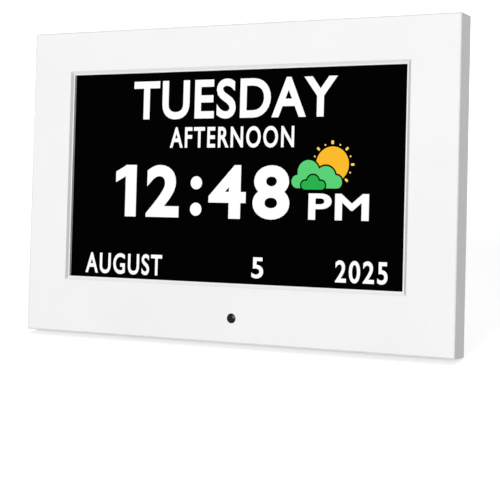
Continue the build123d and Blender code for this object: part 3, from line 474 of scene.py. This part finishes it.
def disc(radius, x, z, front, back, sides=64):
    """A flat round plate that faces the viewer, between two depths of the upright clock."""
    deselect()
    bpy.ops.mesh.primitive_cylinder_add(
        vertices=sides,
        radius=radius,
        depth=back - front,
        location=(x, (front + back) / 2, z),
        rotation=(math.pi / 2, 0, 0),
    )
    piece = bpy.context.object
    bpy.ops.object.transform_apply(location=True, rotation=True, scale=True)
    return piece


def gather(pieces):
    """Joins pieces that don't touch into one object."""
    deselect()
    for piece in pieces:
        piece.select_set(True)
    bpy.context.view_layer.objects.active = pieces[0]
    bpy.ops.object.join()
    return pieces[0]


colon_dots = [disc(colon_radius, colon_x, z, lit_front, panel_depth) for z in colon_heights]
settle(gather(colon_dots), "readout_colon", letter_light, "case")

# Weather picture
# A small lit picture beside the time: a sun with short pale rays behind a pale green cloud and a
# darker one, each with a dark edge. Every layer lies a little in front of the one behind it.
sun_colour = (0.97, 0.5, 0.025, 1.0)
ray_colour = (0.97, 0.7, 0.14, 1.0)
far_cloud_colour = (0.105, 0.64, 0.185, 1.0)
near_cloud_colour = (0.023, 0.44, 0.075, 1.0)
sun_x = 52.4
sun_z = 83.0
sun_radius = 8.1
ray_count = 16
ray_gap = 1.0
ray_sizes = [(1.7, 1.1), (0.8, 0.8)]  # length and width of the long and the short rays
layer = lit_depth / 4
far_foot = 72.2
near_foot = 71.6
far_edge = 0.75
near_edge = 0.7
far_puffs = [(35.2, 75.2, 3.0), (40.6, 79.6, 5.4), (49.2, 77.4, 4.9), (54.7, 74.8, 2.6)]
near_puffs = [(39.2, 73.6, 2.0), (43.0, 75.3, 2.9), (47.2, 73.4, 1.8)]


def cloud(puffs, foot, grow, front, back):
    """A cloud with a flat foot: round puffs in a row on a bar with round ends."""
    plates = []
    for step, (x, z, radius) in enumerate(puffs):
        over = (step + 1) * hair
        size = (radius + grow) * mm
        plates.append(disc(size, x * mm, z * mm, front - over, back + over, 48))
    left = min(x - radius for x, z, radius in puffs)
    right = max(x + radius for x, z, radius in puffs)
    low_radius = puffs[0][2]
    plates.append(
        bar(
            (right - left + 2 * grow) * mm,
            (2 * low_radius + 2 * grow) * mm,
            (left + right) / 2 * mm,
            (foot + low_radius) * mm,
            front,
            back,
            rounding=0.49,
        )
    )
    return merge(plates)


sun_front = panel_depth - layer
sun = disc(sun_radius * mm, sun_x * mm, sun_z * mm, sun_front, panel_depth, 96)
rays = []
for step in range(ray_count):
    turn = 2 * math.pi * step / ray_count
    length, width = ray_sizes[step % 2]
    reach = sun_radius + ray_gap + length / 2
    ray_x = (sun_x + reach * math.sin(turn)) * mm
    ray_z = (sun_z + reach * math.cos(turn)) * mm
    rays.append(bar(width * mm, length * mm, ray_x, ray_z, sun_front, panel_depth, turn, 0.4))
sun_light = glow("light of the sun", sun_colour)
ray_light = glow("light of the rays", ray_colour)
settle(sun, "picture_sun", sun_light, "case")
settle(gather(rays), "picture_rays", ray_light, "case")
dark_edge = anti_glare("dark edges of the picture", panel_black)
far_light = glow("light of the far cloud", far_cloud_colour)
near_light = glow("light of the near cloud", near_cloud_colour)
clouds = [
    ("picture_far_cloud_edge", far_puffs, far_foot, far_edge, dark_edge),
    ("picture_far_cloud", far_puffs, far_foot, 0.0, far_light),
    ("picture_near_cloud_edge", near_puffs, near_foot, near_edge, dark_edge),
    ("picture_near_cloud", near_puffs, near_foot, 0.0, near_light),
]
for level, (name, puffs, foot, grow, material) in enumerate(clouds, start=2):
    plate = cloud(puffs, foot, grow, panel_depth - level * layer, panel_depth)
    settle(plate, name, material, "case")

# Layers behind the panel
# Diffuser films, a clear light guide edged by a strip of lamps, and a white reflector, in a plastic
# frame and a folded steel tray with four ears. They are hidden once the clock is closed.
film_colour = (0.86, 0.88, 0.9, 1.0)
guide_colour = (0.78, 0.85, 0.88, 1.0)
moulding_black = (0.014, 0.014, 0.015, 1.0)
tray_grey = (0.6, 0.61, 0.63, 1.0)
lamp_yellow = (0.9, 0.78, 0.25, 1.0)
ribbon_amber = (0.42, 0.17, 0.03, 1.0)


def sheet_metal(name, colour, roughness, streak=(1.0, 1.0, 1.0)):
    """Metal with fine scratches, longer along an axis whose streak is below one."""
    material, shader, place = new_material(name, colour, roughness)
    shader.inputs["Metallic"].default_value = 1.0
    scratches = noise(material, place, 0.8 * mm, 4.0, streak)
    gloss = spread(material, scratches, roughness - 0.08, roughness + 0.1)
    join(material, gloss, shader.inputs["Roughness"])
    raise_skin(material, shader, scratches, 0.004 * mm)
    tint(material, shader, noise(material, place, 12 * mm), colour, 0.05)
    return material


film_white = moulded_plastic("diffuser film", film_colour, 0.5, 0.3 * mm, 0.003 * mm)
finish_nodes(film_white, "diffuser_films", "reflector_sheet")
clear_plastic = moulded_plastic("clear light guide", guide_colour, 0.12, 0.8 * mm, 0.002 * mm)
finish_nodes(clear_plastic, "light_guide")
black_moulding = moulded_plastic(
    "black moulding", moulding_black, 0.5, 0.3 * mm, 0.008 * mm, 0.1
)
finish_nodes(black_moulding, "display_middle_frame")
finish_nodes(sheet_metal("tray steel", tray_grey, 0.34, (0.1, 1.0, 1.0)), "display_tray")
lamp_resin = moulded_plastic("lamp resin", lamp_yellow, 0.3, 0.5 * mm, 0.003 * mm, 0.05)
finish_nodes(lamp_resin, "backlight_leds")
ribbon_film = moulded_plastic(
    "amber ribbon film", ribbon_amber, 0.25, 0.6 * mm, 0.004 * mm, 0.1
)
finish_nodes(ribbon_film, "display_ribbon")

# Screws
# Small zinc plated steel screws with cross recesses. The six case screws sink into the back cover's
# flange, and the others hold the tray, the boards and the speaker.
zinc_grey = (0.66, 0.67, 0.68, 1.0)
zinc = sheet_metal("zinc plated steel", zinc_grey, 0.3)
finish_nodes(zinc, "case_screws", "display_screws", "speaker_screws")
finish_nodes(zinc, "main_board_screws", "button_board_screws")

# Sensor lens
# A small domed window for the remote control, pressed into the frame under the display, with a
# receiver behind it. It is polished, and so dark a violet that it looks black.
lens_violet = (0.006, 0.004, 0.006, 1.0)
lens_dark = moulded_plastic(
    "dark lens", lens_violet, 0.1, 4 * mm, 0.01 * mm, 0.2, shine=0.15
)
finish_nodes(lens_dark, "sensor_lens")
finish_nodes(black_moulding, "infrared_receiver")

# Back cover and leg
# White mouldings with a spark grain that hides fingerprints. The cover closes the frame and holds
# the sockets, the buttons, the speaker and the leg's hinge; the leg folds flat into its channel.
cover_white = (0.86, 0.86, 0.85, 1.0)
rubber_black = (0.02, 0.02, 0.021, 1.0)
grained_white = moulded_plastic(
    "grained white plastic", cover_white, 0.55, 0.55 * mm, 0.03 * mm
)
finish_nodes(grained_white, "back_cover", "stand_leg")
foot_rubber = moulded_plastic("foot rubber", rubber_black, 0.8, 0.4 * mm, 0.03 * mm, 0.15)
finish_nodes(foot_rubber, "leg_foot")
finish_nodes(zinc, "hinge_pin")
finish_nodes(clear_plastic, "hinge_washers")

# Buttons
# Seven small glossy caps in a row up one side of the back, each on the plunger of its switch.
# Beside each is a plain printed mark: four arrowheads, an arrow for back, three bars for the menu,
# and a ring with a short bar for power.
button_names = ["left", "right", "down", "up", "back", "menu", "power"]
button_grey = (0.36, 0.36, 0.37, 1.0)
ink_grey = (0.16, 0.16, 0.165, 1.0)
mark_x = 75.6
mark_low = 36.0
mark_step = 12.0
mark_front = 24.0 * mm
ink_thickness = 0.04 * mm
mark_back = mark_front + ink_thickness
mark_length = 2.6
mark_stroke = 0.45
head_radius = 1.25
head_turns = {"left": math.pi / 2, "right": -math.pi / 2, "down": math.pi, "up": 0.0}
shaft_stroke = 0.5
shaft_to_head = 2.4
menu_step = 0.9
ring_radius = 1.5
power_bar_length = 1.3
power_bar_rise = 1.0
button_plastic = moulded_plastic("button plastic", button_grey, 0.28, 0.5 * mm, 0.004 * mm)
finish_nodes(button_plastic, *[f"button_{name}" for name in button_names])
finish_nodes(black_moulding, *[f"switch_plunger_{name}" for name in button_names])
finish_nodes(black_moulding, "button_switches")
ink = moulded_plastic("grey printing ink", ink_grey, 0.6, 0.2 * mm, 0.004 * mm, 0.05)


def printed_bar(width, height, x, z):
    """A short printed stroke."""
    return bar(width * mm, height * mm, x * mm, z * mm, mark_front, mark_back)


def printed_head(x, z, turn):
    """A small printed triangle. It points up, or with a quarter turn left as seen from behind."""
    deselect()
    bpy.ops.mesh.primitive_cylinder_add(
        vertices=3,
        radius=head_radius * mm,
        depth=mark_back - mark_front,
        rotation=(math.pi / 2, 0, 0),
    )
    piece = bpy.context.object
    bpy.ops.object.transform_apply(location=False, rotation=True, scale=True)
    piece.rotation_euler = (0, turn, 0)
    piece.location = (x * mm, (mark_front + mark_back) / 2, z * mm)
    bpy.ops.object.transform_apply(location=True, rotation=True, scale=True)
    return piece


def printed_ring(radius, stroke, x, z):
    """A small printed ring."""
    deselect()
    bpy.ops.mesh.primitive_cylinder_add(
        vertices=48,
        radius=radius * mm,
        depth=mark_back - mark_front,
        end_fill_type="NOTHING",
        rotation=(math.pi / 2, 0, 0),
        location=(x * mm, (mark_front + mark_back) / 2, z * mm),
    )
    piece = bpy.context.object
    bpy.ops.object.transform_apply(location=True, rotation=True, scale=True)
    wall = piece.modifiers.new("wall", "SOLIDIFY")
    wall.thickness = stroke * mm
    wall.offset = -1
    bpy.ops.object.modifier_apply(modifier=wall.name)
    return piece


for index, name in enumerate(button_names):
    height = mark_low + index * mark_step
    if name in head_turns:
        mark = printed_head(mark_x, height, head_turns[name])
    elif name == "back":
        shaft = printed_bar(mark_length, shaft_stroke, mark_x, height)
        mark = gather([shaft, printed_head(mark_x + shaft_to_head, height, head_turns["left"])])
    elif name == "menu":
        steps = (-menu_step, 0.0, menu_step)
        mark = gather([printed_bar(mark_length, mark_stroke, mark_x, height + z) for z in steps])
    else:
        circle = printed_ring(ring_radius, mark_stroke, mark_x, height)
        upright = printed_bar(mark_stroke, power_bar_length, mark_x, height + power_bar_rise)
        mark = merge([circle, upright])
    settle(mark, f"printed_mark_{name}", ink, "case")

# Sockets
# A power jack with its pin, a data socket and a slot for a memory card, all soldered to the main
# board and reached through the side of the back cover.
socket_grey = (0.62, 0.62, 0.63, 1.0)
socket_steel = sheet_metal("socket steel", socket_grey, 0.25, (0.2, 1.0, 1.0))
finish_nodes(socket_steel, "usb_socket", "card_socket", "power_jack_pin")
finish_nodes(black_moulding, "power_jack")

# Boards
# Green lacquered fibre boards with copper tracks under the lacquer. They carry the processor, the
# memory, the backup cell and the parts of the power supply.
board_green = (0.012, 0.12, 0.045, 1.0)
cell_grey = (0.7, 0.7, 0.71, 1.0)
core_grey = (0.06, 0.06, 0.065, 1.0)
plug_ivory = (0.72, 0.68, 0.55, 1.0)


def lacquered_board(name, colour):
    """Green lacquer over a maze of tracks, which show a little lighter and stand up by a hair."""
    material, shader, place = new_material(name, colour, 0.3)
    tracks = material.node_tree.nodes.new("ShaderNodeTexBrick")
    tracks.inputs["Scale"].default_value = 1.0 / (9 * mm)
    tracks.inputs["Mortar Size"].default_value = 0.035
    tracks.inputs["Color1"].default_value = colour
    tracks.inputs["Color2"].default_value = tuple(part * 0.85 for part in colour[:3]) + (1.0,)
    tracks.inputs["Mortar"].default_value = tuple(part * 2.0 for part in colour[:3]) + (1.0,)
    turn = material.node_tree.nodes.new("ShaderNodeMapping")
    turn.inputs["Rotation"].default_value = (math.pi / 2, 0, 0)
    join(material, place.outputs["Object"], turn.inputs["Vector"])
    join(material, turn.outputs["Vector"], tracks.inputs["Vector"])
    join(material, tracks.outputs["Color"], shader.inputs["Base Color"])
    raise_skin(material, shader, tracks.outputs["Fac"], 0.03 * mm)
    return material


lacquer = lacquered_board("lacquered board", board_green)
finish_nodes(lacquer, "main_board", "sensor_board", "button_board", "backlight_board")
finish_nodes(black_moulding, "processor_chip", "memory_chips", "backup_cell_holder")
finish_nodes(socket_steel, "clock_crystal")
finish_nodes(sheet_metal("cell steel", cell_grey, 0.22), "backup_cell", "capacitors")
coil_core = moulded_plastic("grey coil core", core_grey, 0.6, 0.4 * mm, 0.02 * mm, 0.1)
finish_nodes(coil_core, "power_coil")
plug_plastic = moulded_plastic("ivory plug plastic", plug_ivory, 0.45, 0.4 * mm, 0.006 * mm)
finish_nodes(plug_plastic, "ribbon_socket", "wire_plugs")

# Speaker
# A small loudspeaker behind the slots of the grille: a pressed steel basket, a black paper cone, a
# plated magnet and a foam seal.
basket_grey = (0.3, 0.3, 0.31, 1.0)
magnet_grey = (0.55, 0.55, 0.56, 1.0)
cone_black = (0.02, 0.02, 0.02, 1.0)
finish_nodes(sheet_metal("basket steel", basket_grey, 0.4), "speaker_basket")
finish_nodes(sheet_metal("plated magnet", magnet_grey, 0.35), "speaker_magnet")
cone_paper = moulded_plastic("cone paper", cone_black, 0.85, 0.6 * mm, 0.05 * mm, 0.2)
finish_nodes(cone_paper, "speaker_cone")
finish_nodes(foam, "speaker_seal")

# Wires
# Two pairs of thin wires in soft red covers, from the main board to the speaker and to the sensor
# board.
wire_red = (0.4, 0.02, 0.015, 1.0)
wire_cover = moulded_plastic("wire cover", wire_red, 0.4, 0.5 * mm, 0.006 * mm, 0.06)
finish_nodes(wire_cover, "case_wires")

# Camera
# It stands to the right of the clock and a little above its middle, where the photograph was taken
# from. The clock fills the upper part of the picture.
bpy.ops.object.camera_add(location=(0.30282, -0.55531, 0.17044))
camera = bpy.context.object
camera.name = "camera"
sight = Vector((-0.46718, 0.8704, -0.15543)).normalized()
upward = Vector((-0.0093, 0.17095, 0.98524))
sideways = sight.cross(upward).normalized()
upward = sideways.cross(sight)
camera.rotation_euler = Matrix((sideways, upward, -sight)).transposed().to_euler()
camera.data.lens = 97.233
camera.data.sensor_width = 36.0
camera.data.shift_y = -0.128
camera.data.clip_start = 0.01
bpy.context.scene.camera = camera

# Table and light
# A white table that runs on out of sight, and three broad soft lamps: one before the clock, a
# little to the left, and dimmer ones above it and behind it.
table_size = 24.0
table_middle = (0, 8.0, 0)
table_colour = (0.6, 0.6, 0.6, 1.0)
table_glow_near = 0.58  # dimmer round the clock, so that its shadow stays
table_glow_far = 1.0
near_reach = 0.2
far_reach = 0.9
room_light = 0.365
lamp_target = Vector((0, 0, 0.08))
lamps = [  # place, size and power
    ("front lamp", (-0.3, -4.2, 1.6), 1.6, 113.5),
    ("top lamp", (0.0, 0.3, 3.0), 2.4, 16.0),
    ("back lamp", (0.0, 4.0, 1.6), 1.6, 60.0),
]
deselect()
bpy.ops.mesh.primitive_plane_add(size=table_size, location=table_middle)
table = bpy.context.object
table.name = "table"
bpy.ops.object.transform_apply(location=True, rotation=True, scale=True)


def seen_directly(owner):
    """One for a ray from the camera or from a mirroring or clear surface, or else nought."""
    rays = owner.node_tree.nodes.new("ShaderNodeLightPath").outputs
    mirrored = reckon(owner, "MAXIMUM", rays["Is Glossy Ray"], rays["Is Transmission Ray"])
    return reckon(owner, "MAXIMUM", rays["Is Camera Ray"], mirrored)


table_white = bpy.data.materials.new("white table")
table_white.use_nodes = True
nodes = table_white.node_tree.nodes
nodes.remove(nodes["Principled BSDF"])
table_surface = nodes.new("ShaderNodeBsdfDiffuse")
table_surface.inputs["Color"].default_value = table_colour
table_reach = nodes.new("ShaderNodeVectorMath")
table_reach.operation = "LENGTH"
join(table_white, nodes.new("ShaderNodeTexCoord").outputs["Object"], table_reach.inputs[0])
table_rise = spread(
    table_white,
    table_reach.outputs["Value"],
    table_glow_near,
    table_glow_far,
    near_reach,
    far_reach,
)
table_glow = nodes.new("ShaderNodeEmission")
glow_strength = reckon(table_white, "MULTIPLY", seen_directly(table_white), table_rise)
join(table_white, glow_strength, table_glow.inputs["Strength"])
table_sum = nodes.new("ShaderNodeAddShader")
join(table_white, table_surface.outputs["BSDF"], table_sum.inputs[0])
join(table_white, table_glow.outputs["Emission"], table_sum.inputs[1])
join(table_white, table_sum.outputs["Shader"], nodes["Material Output"].inputs["Surface"])
table.data.materials.append(table_white)

for name, place, size, power in lamps:
    deselect()
    bpy.ops.object.light_add(type="AREA", location=place)
    light = bpy.context.object
    light.name = name
    light.data.shape = "SQUARE"
    light.data.size = size
    light.data.energy = power
    light.rotation_euler = (lamp_target - Vector(place)).to_track_quat("-Z", "Y").to_euler()
world = bpy.data.worlds.new("pale room")
bpy.context.scene.world = world
world.use_nodes = True
backdrop = world.node_tree.nodes["Background"]
backdrop.inputs["Color"].default_value = (1.0, 1.0, 1.0, 1.0)
join(world, spread(world, seen_directly(world), room_light, 1.0), backdrop.inputs["Strength"])
bpy.context.scene.view_settings.view_transform = "Standard"
